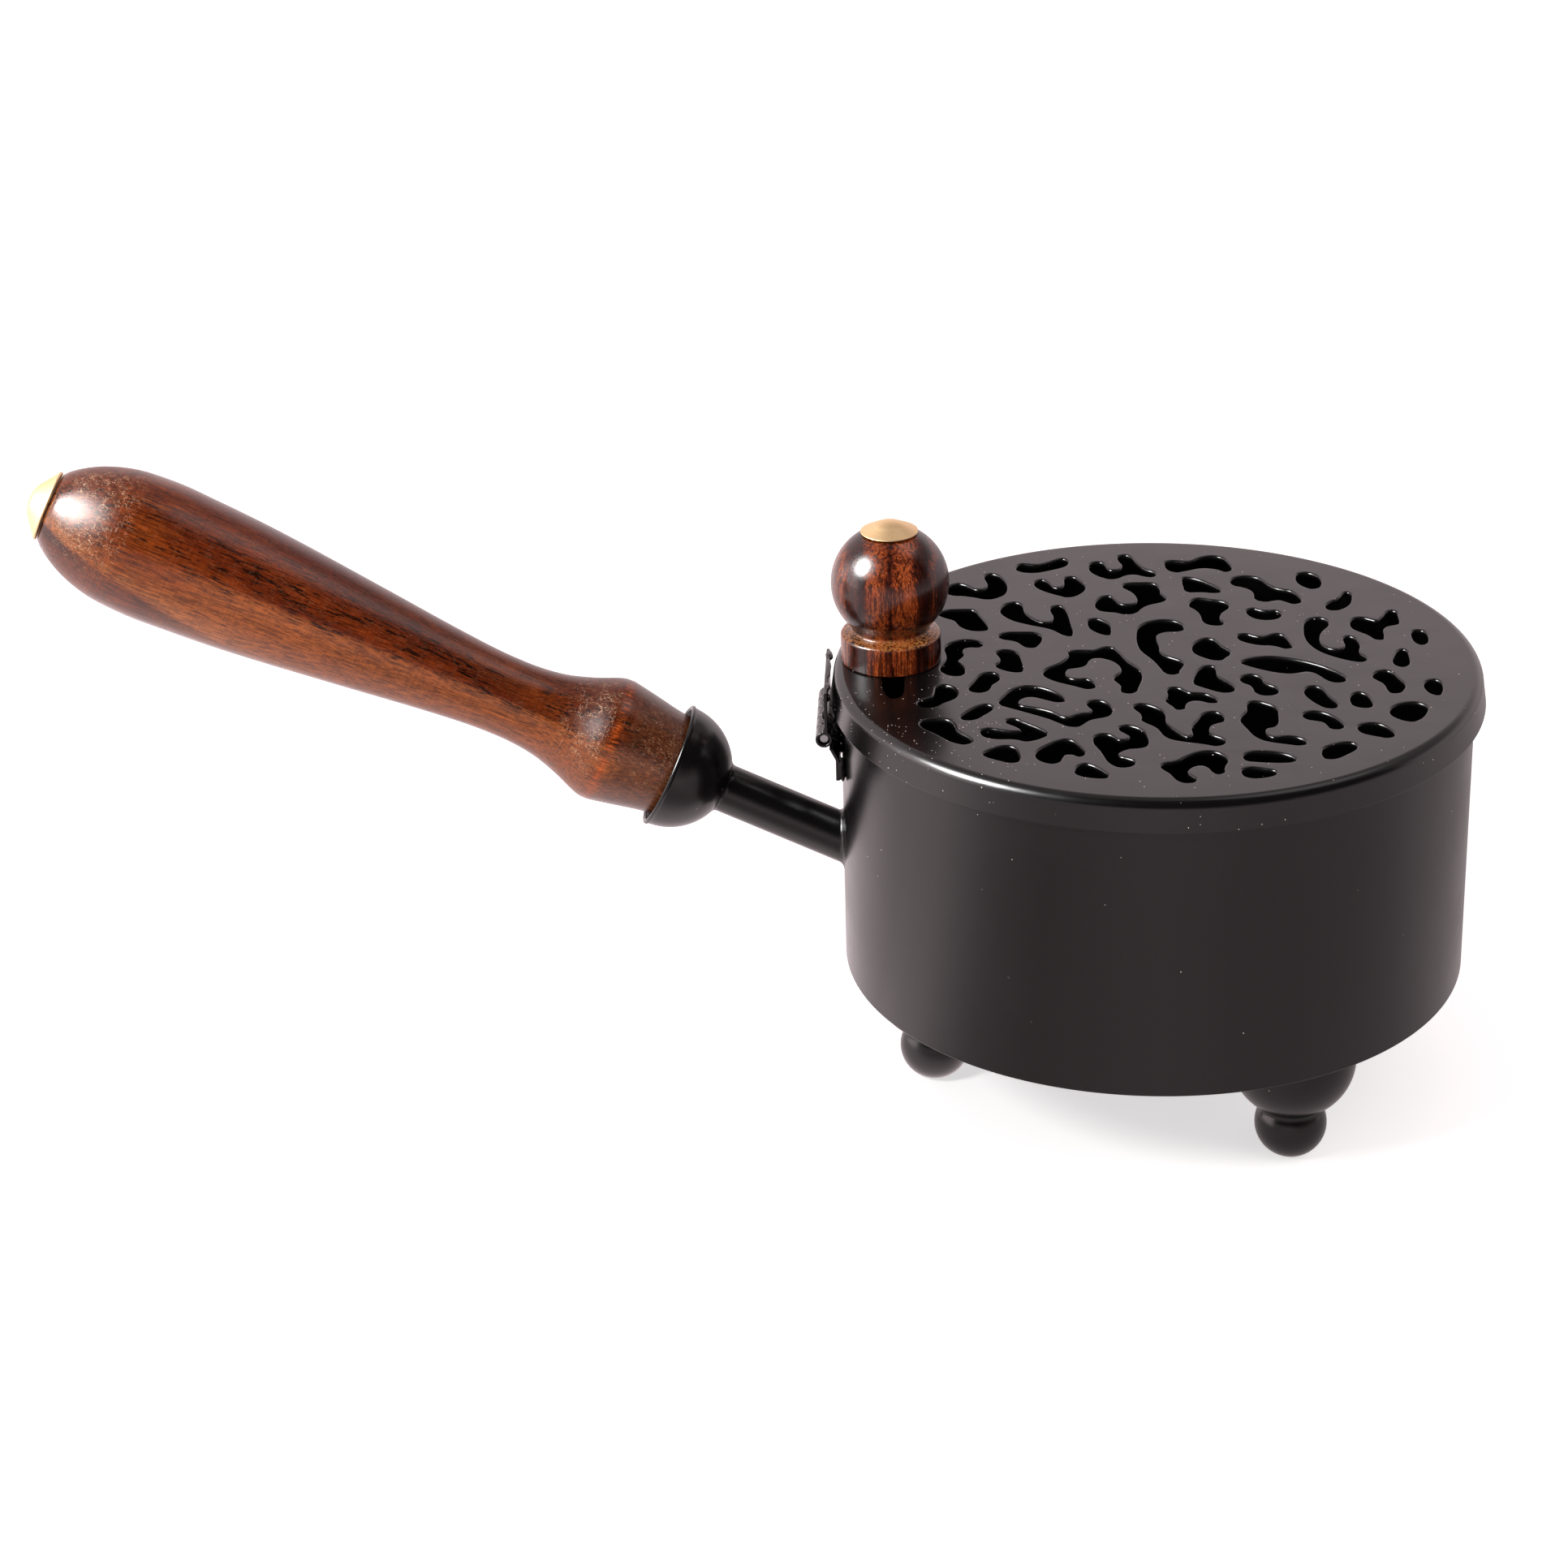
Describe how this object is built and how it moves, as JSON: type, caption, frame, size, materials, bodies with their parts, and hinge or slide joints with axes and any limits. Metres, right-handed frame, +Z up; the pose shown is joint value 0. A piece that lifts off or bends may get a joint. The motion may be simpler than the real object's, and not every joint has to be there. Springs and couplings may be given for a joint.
{
  "type": "incense pan",
  "caption": "Round footed sheet-metal incense pan with a turned wooden handle and a hinged lid pierced in leopard spots and lifted by a wooden knob.",
  "frame": {"origin": "on the ground, under the middle of the object's box", "axes": "+Z up from the feet; +X from the handle towards the pan, so the handle points to -X; +Y along the hinge pin"},
  "size_m": [0.3208, 0.1448, 0.1491],
  "materials": {
    "black_paint": "satin black, sprayed over sheet steel",
    "polished_wood": "reddish brown rosewood, polished",
    "satin_brass": "turned, satin",
    "plated_steel": "zinc-plated"
  },
  "bodies": {
    "pan": {"pan_wall": "black_paint", "pan_base": "black_paint", "foot_1": "black_paint", "foot_2": "black_paint", "foot_3": "black_paint", "foot_screw_1": "plated_steel", "foot_screw_2": "plated_steel", "foot_screw_3": "plated_steel", "hinge_pan_leaf": "black_paint", "hinge_pin": "plated_steel", "handle_neck": "black_paint", "handle_cup": "black_paint", "handle_grip": "polished_wood", "handle_tie_rod": "plated_steel", "handle_end_cap": "satin_brass"},
    "lid": {"lid_shell": "black_paint", "hinge_lid_leaf": "black_paint", "lid_knob": "polished_wood", "knob_screw": "plated_steel", "knob_cap": "satin_brass"}
  },
  "joints": [
    {"name": "lid_hinge", "type": "hinge", "parent": "pan", "child": "lid", "pos_m": [0.01439, 0, 0.0886], "axis": [0, -1, 0], "range_deg": [0, 88.5]}
  ]
}
